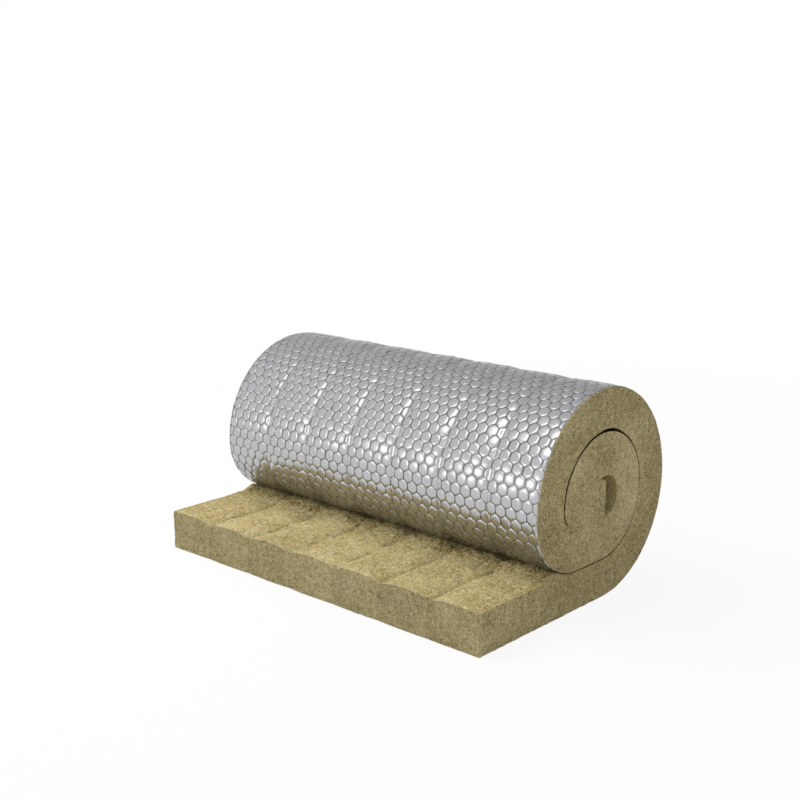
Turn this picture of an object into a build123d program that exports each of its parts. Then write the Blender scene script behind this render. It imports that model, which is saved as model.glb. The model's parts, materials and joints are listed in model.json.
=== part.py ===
"""Stone-wool mat with a foil facing, stitched in panels, rolled up with its last stretch laid out flat.

The mat is one long strip, wound a little over two turns. The foil side is outermost all along.
Every bend of the strip is an arc about an axis parallel to X, and all those axes are at one height.

Frame: +X along the roll, -Y towards the laid-out tongue, +Z up.
The origin is on the floor, in the middle of the part's outline. Sizes are in millimetres.
"""

import os

from build123d import *

# Mat
MAT_WIDTH = 1000.0  # along the roll's axis
MAT_THICKNESS = 100.0  # wool and facing together, at the crown of a panel
FACING_THICKNESS = 1.0  # foil with the netting that is stitched over it
TONGUE_REACH = 445.0  # from the roll's axis to the front edge of the tongue

# Winding
TURN_GAP = 3.0  # air between the wool of one turn and the facing of the next
CORE_RADIUS = 48.0  # outer radius of the innermost bend, half of the pressed inner end
ROLL_SAG = 8.0  # how far the roll's weight presses the turn that it lies on
INNER_END_REACH = 8.0  # from the roll's axis to the cut face of the inner end
CREASE_LENGTH = 36.0  # slit left over the inner end, where the wool folds back on itself
CREASE_WIDTH = 2.0

# Stitching: rows of wire along the mat pull it into panels
PANEL_COUNT = 7
VALLEY_DEPTH = 4.0  # of the facing, at a row of stitches
VALLEY_HALF_WIDTH = 20.0
PILLOW_DEPTH = 9.0  # of the wool face, from a panel's crown down to a row of stitches
EDGE_DROP = 5.0  # of the wool face, from a panel's crown down to the mat's cut edge

CUT_OVERRUN = 10.0  # how far a cutting tool reaches past the faces it goes through

# Sizes that follow
PITCH = MAT_THICKNESS + TURN_GAP
INNER_RADIUS = CORE_RADIUS + PITCH  # facing of the second turn
ROLL_RADIUS = INNER_RADIUS + PITCH  # facing of the outer turn
PANEL_WIDTH = MAT_WIDTH / PANEL_COUNT
HALF_WIDTH = MAT_WIDTH / 2
PART_DEPTH = TONGUE_REACH + ROLL_RADIUS

# Places, as (y, z)
AXIS_Z = ROLL_RADIUS - ROLL_SAG
AXIS_Y = PART_DEPTH / 2 - ROLL_RADIUS
FRONT_Y = -PART_DEPTH / 2
ROLL_AXIS = (AXIS_Y, AXIS_Z)
SAG_AXIS = (AXIS_Y + ROLL_SAG, AXIS_Z)  # the bend that leaves the floor
NIP_AXIS = (AXIS_Y - PITCH, AXIS_Z)  # the bends that lead one turn under the next
INNER_END_Y = AXIS_Y + INNER_END_REACH

# Angles about the roll's axis, counted from straight down towards the back
DOWN, BACK, UP, FRONT = 0, 90, 180, 270


def seams():
    """Places of the stitch rows along X."""
    return [PANEL_WIDTH * row - HALF_WIDTH for row in range(1, PANEL_COUNT)]


def facing_line(depth):
    """The facing's line across the mat at a depth under its outermost face, as (x, depth) points."""
    points = [(-HALF_WIDTH, depth)]
    for seam in seams():
        points.append((seam - VALLEY_HALF_WIDTH, depth))
        points.append((seam, depth + VALLEY_DEPTH))
        points.append((seam + VALLEY_HALF_WIDTH, depth))
    points.append((HALF_WIDTH, depth))
    return points


def bend(section_points, axis, start, turn):
    """Turns an outline of (x, radius) points about an axis, from a start angle."""
    radial_plane = Plane((0, *axis), x_dir=(1, 0, 0)).rotated((start - 90, 0, 0))
    outline = radial_plane * make_face(Polyline(*section_points, close=True))
    return revolve(outline, Axis((0, *axis), (1, 0, 0)), turn)


def wedge(axis, radius, depth, start, turn):
    """The whole inside of a bend, from its axis out to the facing's line at a depth."""
    rim = [(x, radius - inset) for x, inset in facing_line(depth)]
    return bend([(-HALF_WIDTH, 0), *rim, (HALF_WIDTH, 0)], axis, start, turn)


def facing_bend(axis, radius, start, turn):
    """The facing alone, round a bend."""
    outer = [(x, radius - inset) for x, inset in facing_line(0)]
    inner = [(x, radius - inset) for x, inset in facing_line(FACING_THICKNESS)]
    return bend(outer + inner[::-1], axis, start, turn)


def across(outline, from_y, to_y):
    """Extrudes a face drawn in (x, z) along Y."""
    placed = Plane((0, from_y, 0), x_dir=(1, 0, 0), z_dir=(0, -1, 0)) * outline
    return extrude(placed, from_y - to_y)


def along_roll(outline, length=MAT_WIDTH):
    """Extrudes a face drawn in (y, z) along X, evenly to both sides."""
    return extrude(Plane.YZ * outline, length / 2, both=True)


def panel_tops():
    """The wool face of the tongue: one arc for each panel, crowned at the mat's thickness."""
    row_level = MAT_THICKNESS - PILLOW_DEPTH
    edge_level = MAT_THICKNESS - EDGE_DROP
    ends = [(-HALF_WIDTH, edge_level)] + [(x, row_level) for x in seams()] + [(HALF_WIDTH, edge_level)]
    arcs = []
    for left, right in zip(ends, ends[1:]):
        crown = ((left[0] + right[0]) / 2, MAT_THICKNESS)
        arcs.append(ThreePointArc(left, crown, right))
    return arcs


def tongue():
    """The wool that lies open, between the front edge and the roll."""
    tops = panel_tops()
    underside = Polyline(*facing_line(FACING_THICKNESS))
    sides = [Line(underside @ 0, tops[0] @ 0), Line(underside @ 1, tops[-1] @ 1)]
    return across(make_face([underside, *sides, *tops]), FRONT_Y, NIP_AXIS[0])


def under_roll():
    """The wool on the floor under the roll, filled up to the roll's axis."""
    underside = facing_line(FACING_THICKNESS)
    outline = [*underside, (HALF_WIDTH, AXIS_Z), (-HALF_WIDTH, AXIS_Z)]
    return across(make_face(Polyline(*outline, close=True)), NIP_AXIS[0], SAG_AXIS[0])


def second_turn_outline(offset):
    """The outline of the second turn and all that is inside it, grown outwards by an offset."""
    radius = INNER_RADIUS + offset
    floor_z = AXIS_Z - radius
    start = (NIP_AXIS[0] - radius, AXIS_Z)
    end = (AXIS_Y - radius, AXIS_Z)
    return make_face(
        [
            CenterArc(NIP_AXIS, radius, 180, 90),
            Line((NIP_AXIS[0], floor_z), (AXIS_Y, floor_z)),
            CenterArc(ROLL_AXIS, radius, 270, 270),
            Line(end, start),
        ]
    )


def second_turn():
    """The wool inside the second turn's facing, still filled, from the nip onwards."""
    radius = INNER_RADIUS - FACING_THICKNESS
    floor_z = AXIS_Z - radius
    filled = make_face(
        [
            Line((NIP_AXIS[0], AXIS_Z), (NIP_AXIS[0], floor_z)),
            Line((NIP_AXIS[0], floor_z), (AXIS_Y, floor_z)),
            CenterArc(ROLL_AXIS, radius, 270, 270),
            Line((AXIS_Y - radius, AXIS_Z), (NIP_AXIS[0], AXIS_Z)),
        ]
    )
    return wedge(NIP_AXIS, INNER_RADIUS, FACING_THICKNESS, FRONT, 90) + along_roll(filled)


def strip_under_inner_end(outer_offset, inner_offset, end_y):
    """A band along the facing of the innermost bend and the straight inner end, as a face in (y, z)."""
    outer_radius = CORE_RADIUS + outer_offset
    inner_radius = CORE_RADIUS - inner_offset
    outer_z = AXIS_Z - outer_radius
    inner_z = AXIS_Z - inner_radius
    return make_face(
        [
            CenterArc(NIP_AXIS, outer_radius, 180, 90),
            Line((NIP_AXIS[0], outer_z), (end_y, outer_z)),
            Line((end_y, outer_z), (end_y, inner_z)),
            Line((end_y, inner_z), (NIP_AXIS[0], inner_z)),
            CenterArc(NIP_AXIS, inner_radius, 270, -90),
            Line((NIP_AXIS[0] - inner_radius, AXIS_Z), (NIP_AXIS[0] - outer_radius, AXIS_Z)),
        ]
    )


def core_hole():
    """The half-round hole that is left between the inner end and the turn round it, with its crease."""
    half_disc = make_face(
        [
            CenterArc((INNER_END_Y, AXIS_Z), CORE_RADIUS, -90, 180),
            Line((INNER_END_Y, AXIS_Z + CORE_RADIUS), (INNER_END_Y, AXIS_Z - CORE_RADIUS)),
        ]
    )
    crease_centre = (INNER_END_Y - CREASE_LENGTH / 2, AXIS_Z + CORE_RADIUS - CREASE_WIDTH / 2)
    crease = Pos(*crease_centre) * Rectangle(CREASE_LENGTH, CREASE_WIDTH)
    return half_disc + crease


def wool_mat():
    """The whole strip of wool: tongue, outer turn, second turn and inner end."""
    through = MAT_WIDTH + 2 * CUT_OVERRUN
    outer_turn = tongue() + under_roll()
    outer_turn += wedge(SAG_AXIS, AXIS_Z, FACING_THICKNESS, DOWN, 90)
    outer_turn += wedge(ROLL_AXIS, ROLL_RADIUS, FACING_THICKNESS, BACK, 180)
    outer_turn -= along_roll(second_turn_outline(TURN_GAP - FACING_THICKNESS), through)
    inner_turn = second_turn()
    slit_end = INNER_END_Y + TURN_GAP
    inner_turn -= along_roll(strip_under_inner_end(TURN_GAP - FACING_THICKNESS, FACING_THICKNESS, slit_end), through)
    inner_turn -= along_roll(core_hole(), through)
    return outer_turn + inner_turn


def foil_facing():
    """The facing, one sheet from the front edge round both turns to the inner end."""
    floor_outline = facing_line(0) + facing_line(FACING_THICKNESS)[::-1]
    sheet = across(make_face(Polyline(*floor_outline, close=True)), FRONT_Y, SAG_AXIS[0])
    sheet += facing_bend(SAG_AXIS, AXIS_Z, DOWN, 90)
    sheet += facing_bend(ROLL_AXIS, ROLL_RADIUS, BACK, 180)
    sheet += facing_bend(NIP_AXIS, INNER_RADIUS, FRONT, 90)
    floor_z = AXIS_Z - INNER_RADIUS
    inner_radius = INNER_RADIUS - FACING_THICKNESS
    second = make_face(
        [
            Line((NIP_AXIS[0], floor_z), (AXIS_Y, floor_z)),
            CenterArc(ROLL_AXIS, INNER_RADIUS, 270, 270),
            Line((AXIS_Y - INNER_RADIUS, AXIS_Z), (AXIS_Y - inner_radius, AXIS_Z)),
            CenterArc(ROLL_AXIS, inner_radius, 180, -270),
            Line((AXIS_Y, AXIS_Z - inner_radius), (NIP_AXIS[0], AXIS_Z - inner_radius)),
            Line((NIP_AXIS[0], AXIS_Z - inner_radius), (NIP_AXIS[0], floor_z)),
        ]
    )
    sheet += along_roll(second)
    sheet += along_roll(strip_under_inner_end(0, FACING_THICKNESS, INNER_END_Y))
    return sheet


def main():
    os.makedirs("parts", exist_ok=True)
    for name, make in (("wool_mat", wool_mat), ("foil_facing", foil_facing)):
        solid = make()
        export_step(solid, f"parts/{name}.step")
        box = solid.bounding_box()
        print(name, len(solid.solids()), "solid", round(solid.volume / 1e6, 3), "litres", box.min, box.max)


main()
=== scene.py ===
# %% [markdown]
# A rolled stone-wool mat
#
# The object is a thick mat of stone wool with aluminium foil on one side. Wire netting lies over the
# foil, and rows of wire stitches pull the mat into panels. It is wound into a roll, foil outwards, and
# its last stretch lies open on the floor like a tongue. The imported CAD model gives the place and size.

# %% Load the frame
import json
import math
import random
from collections import namedtuple

import bmesh
import bpy
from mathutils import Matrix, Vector, noise

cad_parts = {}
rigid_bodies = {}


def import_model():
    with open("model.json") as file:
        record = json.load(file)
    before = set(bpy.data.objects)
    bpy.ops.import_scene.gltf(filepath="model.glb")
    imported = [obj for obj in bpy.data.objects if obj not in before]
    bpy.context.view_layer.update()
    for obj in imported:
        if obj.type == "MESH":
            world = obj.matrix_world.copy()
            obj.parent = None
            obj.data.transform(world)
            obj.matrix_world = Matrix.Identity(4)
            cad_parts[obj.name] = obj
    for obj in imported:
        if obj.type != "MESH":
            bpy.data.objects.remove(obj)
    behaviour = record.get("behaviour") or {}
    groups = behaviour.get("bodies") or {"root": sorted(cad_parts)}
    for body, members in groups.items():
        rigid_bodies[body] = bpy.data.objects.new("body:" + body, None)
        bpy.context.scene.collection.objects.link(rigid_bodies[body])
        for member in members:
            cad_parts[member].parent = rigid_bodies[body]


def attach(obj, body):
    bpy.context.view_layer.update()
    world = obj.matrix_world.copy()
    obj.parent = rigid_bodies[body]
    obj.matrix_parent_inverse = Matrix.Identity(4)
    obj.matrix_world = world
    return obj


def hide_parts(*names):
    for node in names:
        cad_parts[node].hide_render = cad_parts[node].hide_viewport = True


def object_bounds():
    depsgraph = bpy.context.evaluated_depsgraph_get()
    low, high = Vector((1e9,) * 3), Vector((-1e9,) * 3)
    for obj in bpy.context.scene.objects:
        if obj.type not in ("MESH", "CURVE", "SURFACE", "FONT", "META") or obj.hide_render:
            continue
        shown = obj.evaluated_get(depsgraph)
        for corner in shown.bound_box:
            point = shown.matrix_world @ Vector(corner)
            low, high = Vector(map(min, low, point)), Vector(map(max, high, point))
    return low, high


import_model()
cad_low, cad_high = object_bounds()
print("CAD box", [round(value, 4) for value in (*cad_low, *cad_high)])

# %% [markdown]
# Sizes of the winding
#
# All bends of the strip turn about axes at one height, so a few sizes describe the whole spiral. They
# are those of the CAD model: the overall box comes from the frame, the rest is written here in metres.

# %% Sizes of the mat and its winding
MAT_WIDTH = cad_high.x - cad_low.x
HALF_WIDTH = MAT_WIDTH / 2
MAT_THICKNESS = 0.100
TURN_GAP = 0.003
CORE_RADIUS = 0.048
ROLL_SAG = 0.008
INNER_END_REACH = 0.008
CREASE_LENGTH = 0.036
PANEL_COUNT = 7
PANEL_WIDTH = MAT_WIDTH / PANEL_COUNT

PITCH = MAT_THICKNESS + TURN_GAP
INNER_RADIUS = CORE_RADIUS + PITCH
ROLL_RADIUS = INNER_RADIUS + PITCH
AXIS_Z = ROLL_RADIUS - ROLL_SAG
AXIS_Y = cad_high.y - ROLL_RADIUS
SAG_Y = AXIS_Y + ROLL_SAG
NIP_Y = AXIS_Y - PITCH
FRONT_Y = cad_low.y
INNER_END_Y = AXIS_Y + INNER_END_REACH
QUARTER = math.pi / 2
print("roll radius", round(ROLL_RADIUS, 4), "axis at", round(AXIS_Y, 4), round(AXIS_Z, 4))

# %% [markdown]
# Winding a flat mat
#
# A mill makes the mat flat and winds it at the end, and the script does the same. Every piece is first
# modelled flat, with x across the mat, s along it from the front edge and h outwards from the facing.
# One function then carries a flat point to its place on the spiral. A Curve modifier could bend a flat
# mesh too, but it needs a path for each piece, and the function serves the foil, the wires and the wool
# alike. Straight runs go towards the back on their facing, and bends turn upwards from the bottom, so a
# run needs only a centre, a radius and an angle.

# %% The runs of the spiral
# A straight run has no radius, and its y and z are those of its start. A bend's are those of its axis.
Run = namedtuple("Run", "length y z radius start")
RUNS = [
    Run(SAG_Y - FRONT_Y, FRONT_Y, 0.0, 0.0, 0.0),
    Run(AXIS_Z * QUARTER, SAG_Y, AXIS_Z, AXIS_Z, 0.0),
    Run(ROLL_RADIUS * 2 * QUARTER, AXIS_Y, AXIS_Z, ROLL_RADIUS, QUARTER),
    Run(INNER_RADIUS * QUARTER, NIP_Y, AXIS_Z, INNER_RADIUS, 3 * QUARTER),
    Run(PITCH, NIP_Y, AXIS_Z - INNER_RADIUS, 0.0, 0.0),
    Run(INNER_RADIUS * 3 * QUARTER, AXIS_Y, AXIS_Z, INNER_RADIUS, 0.0),
    Run(CORE_RADIUS * QUARTER, NIP_Y, AXIS_Z, CORE_RADIUS, 3 * QUARTER),
    Run(INNER_END_Y - NIP_Y, NIP_Y, AXIS_Z - CORE_RADIUS, 0.0, 0.0),
]
FLOOR_RUN, SAG_BEND, OUTER_TURN, NIP_BEND, UNDER_RUN, SECOND_TURN, CORE_BEND, INNER_END = range(len(RUNS))
RUN_STARTS = [sum(run.length for run in RUNS[:index]) for index in range(len(RUNS))]
MAT_LENGTH = sum(run.length for run in RUNS)
RUN_SLACK = 1e-9


def find_run(s):
    """The number of the run at a place along the mat, and how far into it that is."""
    for index in reversed(range(len(RUNS))):
        if s >= RUN_STARTS[index] - RUN_SLACK:
            return index, s - RUN_STARTS[index]
    return 0, s


def from_axis(x, y, z, radius, angle):
    """A point at a radius from an axis along X, by its angle from straight down towards the back."""
    return Vector((x, y + radius * math.sin(angle), z - radius * math.cos(angle)))


def wind(x, s, h):
    """Where a point of the flat mat lies on the spiral, h outwards from its facing."""
    index, into = find_run(s)
    run = RUNS[index]
    if run.radius == 0.0:
        return Vector((x, run.y + into, run.z - h))
    return from_axis(x, run.y, run.z, run.radius + h, run.start + into / run.radius)


print("mat length", round(MAT_LENGTH, 3), "m in", len(RUNS), "runs")

# %% [markdown]
# Panels
#
# The stitch rows pull the facing in, so each panel swells a little between two rows and creases at the
# rows. The wool side shows the same panels, deeper. Sculpting or a displacement map could shape them,
# but then foil, wires and wool would each need their own. Here all of them ask the same two functions:
# how far across its panel a point is, and how far it is from the nearest row of stitches.

# %% Relief of the panels
FACING_SWELL = 0.0020
FACING_CREASE = 0.0030
CREASE_REACH = 0.010
STITCH_LENGTH = 0.052
EDGE_SHARE = 0.45
PULL_MEAN = 0.7
PULL_SWING = 0.3
LAST_PLACE = PANEL_COUNT - 1e-6
SEAM_PLACES = [PANEL_WIDTH * row - HALF_WIDTH for row in range(1, PANEL_COUNT)]


def panel_place(x):
    """How far across its panel a point is, from -1 to 1, less at the mat's own edges."""
    place = min(max((x + HALF_WIDTH) / PANEL_WIDTH, 0.0), LAST_PLACE)
    across = 2 * (place % 1) - 1
    outer = (place < 0.5) or (place > PANEL_COUNT - 0.5)
    return across * EDGE_SHARE if outer else across


def seam_distance(x):
    """Distance to the nearest row of stitches."""
    return min(abs(x - seam) for seam in SEAM_PLACES)


def facing_relief(x, s):
    """Height of the facing's base over its outermost level: 0 at a panel's crown, less elsewhere."""
    pull = PULL_MEAN + PULL_SWING * math.cos(2 * math.pi * s / STITCH_LENGTH)
    crease = FACING_CREASE * pull * math.exp(-seam_distance(x) / CREASE_REACH)
    return -FACING_SWELL * panel_place(x) ** 2 - crease


print("stitch rows at", [round(seam, 3) for seam in SEAM_PLACES])

# %% [markdown]
# Pieces
#
# Each piece is a mesh object at the origin, in the same frame as the CAD model. This helper turns a
# finished bmesh into such an object and lets it ride on the part's one body.


# %% Make a piece
def make_piece(name, mesh_build, slot, *nodes):
    """Writes a bmesh to a new smooth object that rides on the part and hides the CAD parts it stands for.
    The slot is not used.
    """
    mesh = bpy.data.meshes.new(name)
    mesh_build.to_mesh(mesh)
    mesh_build.free()
    mesh.shade_smooth()
    piece = bpy.data.objects.new(name, mesh)
    bpy.context.scene.collection.objects.link(piece)
    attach(piece, "root")
    if nodes:
        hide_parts(*nodes)
    mesh.calc_loop_triangles()
    print(name, len(mesh.loop_triangles), "triangles")
    return piece


# %% [markdown]
# Foil facing
#
# Under the netting the soft wool swells through every mesh, so the foil is a sheet of small hexagonal
# pillows. A smooth sheet with a bump map would be lighter, but its pillows would have no height. So each
# cell is modelled: it starts as a six-sided circle, and its face is inset three times and poked, each
# step a little higher and flatter.

# %% One cell
CELLS_ACROSS = 35
CELL_PITCH = MAT_WIDTH / CELLS_ACROSS
CELL_SIDE = CELL_PITCH / math.sqrt(3)
CELL_CROWN = 0.0021
RING_SHARES = ((0.035, 0.45), (0.16, 0.45), (0.24, 0.085))
CENTRE_SHARE = 0.015


def make_cell(build):
    """One hexagonal pillow at the origin, its points along s."""
    bmesh.ops.create_circle(build, cap_ends=True, segments=6, radius=CELL_SIDE)
    cap = build.faces[:]
    if cap[0].normal.z < 0:
        bmesh.ops.reverse_faces(build, faces=cap)
    for width, rise in RING_SHARES:
        bmesh.ops.inset_region(
            build, faces=cap, thickness=CELL_SIDE * width, depth=CELL_CROWN * rise,
            use_boundary=True, use_even_offset=True,
        )
    centre = bmesh.ops.poke(build, faces=cap)["verts"]
    centre[0].co.z += CELL_CROWN * CENTRE_SHARE


print(CELLS_ACROSS, "cells across the mat, pitch", round(CELL_PITCH, 4))

# %% [markdown]
# The cells lie in rows, and every other row is moved by half a cell. Each cell differs a little in height
# and tilt, as real foil does, and this breaks up its reflections. The rows end in the nip, where the foil
# goes out of sight.

# %% Rows of cells
ROW_PITCH = 1.5 * CELL_SIDE
NIP_TURN = math.radians(75)
ROW_COUNT = int((RUN_STARTS[NIP_BEND] + INNER_RADIUS * NIP_TURN) / ROW_PITCH)
CELLS_END = ROW_COUNT * ROW_PITCH
CELL_HEIGHTS = (0.72, 1.12)
TILT_ACROSS = 0.036
TILT_ALONG = 0.022
draw = random.Random(7)


def make_row(row):
    """A row of cells in a mesh of its own, each a copy of one cell with its own height and tilt."""
    build = bmesh.new()
    make_cell(build)
    cell = build.verts[:] + build.edges[:] + build.faces[:]
    shift = 0.0 if row % 2 else CELL_PITCH / 2
    count = CELLS_ACROSS + row % 2
    for column in range(count):
        copy = bmesh.ops.duplicate(build, geom=cell)["geom"]
        place = Vector((column * CELL_PITCH + shift - HALF_WIDTH, row * ROW_PITCH, 0.0))
        height = draw.uniform(*CELL_HEIGHTS)
        tilt = Vector((draw.gauss(0, TILT_ACROSS), draw.gauss(0, TILT_ALONG), 0.0))
        for part in copy:
            if isinstance(part, bmesh.types.BMVert):
                raised = part.co.z / CELL_CROWN
                part.co.z = part.co.z * height + part.co.dot(tilt) * raised
                part.co += place
    bmesh.ops.delete(build, geom=cell, context="VERTS")
    mesh = bpy.data.meshes.new("cell row")
    build.to_mesh(mesh)
    build.free()
    return mesh


print(ROW_COUNT, "rows of cells, up to", round(CELLS_END, 3), "m along the mat")

# %% [markdown]
# Foil, wires and wool have to agree on one level, that of the netting. Where the mat lies on the floor,
# the pillows stand on it with their crowns, so the netting lies a whole crown inside the facing's outer
# level. Where the mat has left the floor, it lies only half a crown inside. Beside the stitches and the
# sheet's edges the pillows are pressed flat.

# %% Level of the netting
RIM_WIDTH = 0.002
FOIL_EDGE = HALF_WIDTH - RIM_WIDTH
LIFT_START = math.radians(4)
LIFT_END = math.radians(20)
HIDDEN_LEVEL = -0.0006
HIDDEN_BLEND = 0.03
PRESS_REACH = 0.0050
PRESS_SHARE = 0.75


def smooth_step(value, low, high):
    """0 below low, 1 above high, and an even rise between them."""
    share = min(max((value - low) / (high - low), 0.0), 1.0)
    return share * share * (3 - 2 * share)


def wire_level(x, s):
    """Level of the netting: below the crowns, which stand on the floor, and flush where it is hidden."""
    bend_start = RUN_STARTS[SAG_BEND]
    lifted = smooth_step(s, bend_start + AXIS_Z * LIFT_START, bend_start + AXIS_Z * LIFT_END)
    hidden = smooth_step(s, CELLS_END, CELLS_END + HIDDEN_BLEND)
    netting = facing_relief(x, s) - CELL_CROWN * (1 - lifted / 2)
    return netting * (1 - hidden) + HIDDEN_LEVEL * hidden


def seam_press(x):
    """How much of a pillow's height is left beside the stitches and the sheet's edges."""
    distance = min(seam_distance(x), abs(FOIL_EDGE - abs(x)))
    return 1 - PRESS_SHARE * math.exp(-((distance / PRESS_REACH) ** 2))


print("foil from edge to edge", round(2 * FOIL_EDGE, 4))

# %% [markdown]
# The rows are welded to a flat sheet and cut straight at its edges. It is also cut along the stitch rows,
# so that it can fold there. Its edges lie just behind a thin rim of wool and are turned in, so no gap
# shows between the foil and the mat. Where it is hidden between the turns it goes on as a plain grid.

# %% The flat sheet of foil
WELD = 1e-5
FOLD_HALF_WIDTH = 0.0045
HEM_DEPTH = 0.0040
PLAIN_STEP = 0.018


def cut_sheet(build, place, normal, remove):
    """Cuts a flat sheet straight, and may remove what lies on the normal's side."""
    everything = build.verts[:] + build.edges[:] + build.faces[:]
    bmesh.ops.bisect_plane(
        build, geom=everything, dist=WELD, plane_co=place, plane_no=normal, clear_outer=remove
    )


def flat_facing():
    """The facing laid flat: x across, y along the mat, z the height over the wires."""
    build = bmesh.new()
    for row in range(ROW_COUNT + 1):
        mesh = make_row(row)
        build.from_mesh(mesh)
        bpy.data.meshes.remove(mesh)
    bmesh.ops.remove_doubles(build, verts=build.verts[:], dist=WELD)
    cut_sheet(build, (FOIL_EDGE, 0, 0), (1, 0, 0), True)
    cut_sheet(build, (-FOIL_EDGE, 0, 0), (-1, 0, 0), True)
    cut_sheet(build, (0, RIM_WIDTH, 0), (0, -1, 0), True)
    cut_sheet(build, (0, CELLS_END, 0), (0, 1, 0), True)
    for seam in SEAM_PLACES:
        for place in (seam - FOLD_HALF_WIDTH, seam, seam + FOLD_HALF_WIDTH):
            cut_sheet(build, (place, 0, 0), (1, 0, 0), False)
    return build


def hem_edges(build):
    """Turns the sheet's rims at the roll's ends and the front towards the wool."""
    rims = []
    for edge in build.edges:
        ends = [vert.co for vert in edge.verts]
        at_side = all(abs(end.x) > FOIL_EDGE - WELD for end in ends)
        at_front = all(end.y < RIM_WIDTH + WELD for end in ends)
        if edge.is_boundary and (at_side or at_front):
            rims.append(edge)
    turned = bmesh.ops.extrude_edge_only(build, edges=rims)["geom"]
    for part in turned:
        if isinstance(part, bmesh.types.BMVert):
            part.co.z = -HEM_DEPTH


def add_plain_run(build):
    """The stretch of the facing that is hidden between the turns."""
    length = MAT_LENGTH - CELLS_END
    steps = int(length / PLAIN_STEP)
    grid = bmesh.ops.create_grid(build, x_segments=PANEL_COUNT, y_segments=steps, size=0.5)
    for vert in grid["verts"]:
        vert.co.x *= FOIL_EDGE * 2
        vert.co.y = CELLS_END + (vert.co.y + 0.5) * length


facing_build = flat_facing()
hem_edges(facing_build)
print("flat sheet with", len(facing_build.faces), "faces")

# %% [markdown]
# Two values are painted on the sheet for its material: how high a point lies in its cell, which darkens the
# grooves, creases and edges with painted shade, and how much painted shade it takes low on the roll, where
# it comes down to the tongue and mirrors the wool in the roll's shadow. The plain grid needs neither, so it
# is added after them. Then the sheet is wound, point by point.

# %% The wound sheet of foil
CROWN_LAYER = "crown"
LOW_SHADE_LAYER = "low_shade"
LOW_SHADE_START = math.radians(14)
LOW_SHADE_FULL = math.radians(30)

crown = facing_build.verts.layers.float.new(CROWN_LAYER)
low_shade = facing_build.verts.layers.float.new(LOW_SHADE_LAYER)
# Painted shade: the foil is darker low on the roll, where it mirrors the wool in the roll's shadow.
for vert in facing_build.verts:
    vert[low_shade] = smooth_step((vert.co.y - RUN_STARTS[NIP_BEND]) / INNER_RADIUS, LOW_SHADE_START, LOW_SHADE_FULL)
    vert[crown] = vert.co.z / CELL_CROWN * (1 + seam_press(vert.co.x)) / 2
add_plain_run(facing_build)
for vert in facing_build.verts:
    x, s, rise = vert.co
    pressed = rise * seam_press(x) if rise > 0 else rise
    vert.co = wind(x, s, wire_level(x, s) + pressed)
bmesh.ops.reverse_faces(facing_build, faces=facing_build.faces[:])
foil_sheet = make_piece("foil_sheet", facing_build, "foil", "foil_facing")

# %% [markdown]
# Wire netting
#
# Hexagonal netting is made of wires that run along the mat. Each wire lies beside one neighbour for a
# stretch, steps over to the other, and comes back, so two wires share every straight side of a mesh.
# A picture of a net on the foil would be lighter, but it would not catch the light or cast the fine
# shadows that make the cells stand out. So the wires are real: polylines on the wound facing, with a
# thin round bevel, turned into a mesh.

# %% Netting wires
NET_WIRE_RADIUS = 0.00048
WIRE_SHARE = 0.32
PAIR_OFFSET = 0.00052


def netting_wire(column, side):
    """The flat route of one wire: it leaves the straight side of a column to the right or left."""
    points = []
    base = column * CELL_PITCH - HALF_WIDTH
    limit = FOIL_EDGE - PAIR_OFFSET
    for row in range(ROW_COUNT):
        step = PAIR_OFFSET if row % 2 == 0 else CELL_PITCH / 2 - PAIR_OFFSET
        x = min(max(base + side * step, -limit), limit)
        middle = row * ROW_PITCH
        for s in (middle - CELL_SIDE / 2, middle + CELL_SIDE / 2):
            if RIM_WIDTH <= s <= CELLS_END:
                points.append((x, s))
    return points


def wires_to_build(routes, radius, level):
    """Winds flat routes onto the facing and makes a mesh of round wires along them."""
    curve = bpy.data.curves.new("wire routes", "CURVE")
    curve.dimensions = "3D"
    curve.bevel_depth = radius
    curve.bevel_resolution = 0
    curve.use_fill_caps = True
    for route in routes:
        spline = curve.splines.new("POLY")
        spline.points.add(len(route) - 1)
        for point, (x, s) in zip(spline.points, route):
            point.co = (*wind(x, s, level(x, s)), 1.0)
    holder = bpy.data.objects.new("wire routes", curve)
    mesh = bpy.data.meshes.new_from_object(holder)
    build = bmesh.new()
    build.from_mesh(mesh)
    for spare, pool in ((holder, bpy.data.objects), (curve, bpy.data.curves), (mesh, bpy.data.meshes)):
        pool.remove(spare)
    return build


def net_level(x, s):
    """The wires lie in the grooves between the cells, which close round their lower half."""
    return wire_level(x, s) + CELL_CROWN * WIRE_SHARE * seam_press(x)


routes = [netting_wire(column, 1) for column in range(CELLS_ACROSS)]
routes += [netting_wire(column, -1) for column in range(1, CELLS_ACROSS + 1)]
wire_netting = make_piece("wire_netting", wires_to_build(routes, NET_WIRE_RADIUS, net_level), "foil")

# %% [markdown]
# Stitching
#
# A row of stitches is one wire that runs along the facing and dives through the mat at every stitch.
# On the foil it shows as a line in the crease of the panels. It is one more route on the facing, so the
# helper that made the netting makes it too.

# %% Stitching wire
STITCH_WIRE_RADIUS = 0.0005
STITCH_STEP = STITCH_LENGTH / 8
STITCH_DIP = 0.002
STITCH_LIFT = NET_WIRE_RADIUS * 0.8
STITCH_SHARPNESS = 4


def stitch_level(x, s):
    """The wire lies on the crease and dips at each stitch."""
    dip = 0.5 + 0.5 * math.cos(2 * math.pi * s / STITCH_LENGTH)
    return wire_level(x, s) + STITCH_LIFT - STITCH_DIP * dip ** STITCH_SHARPNESS


stitch_steps = int(CELLS_END / STITCH_STEP)
rows = [[(seam, step * STITCH_STEP) for step in range(1, stitch_steps)] for seam in SEAM_PLACES]
stitching = make_piece("stitching", wires_to_build(rows, STITCH_WIRE_RADIUS, stitch_level), "foil")

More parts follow.
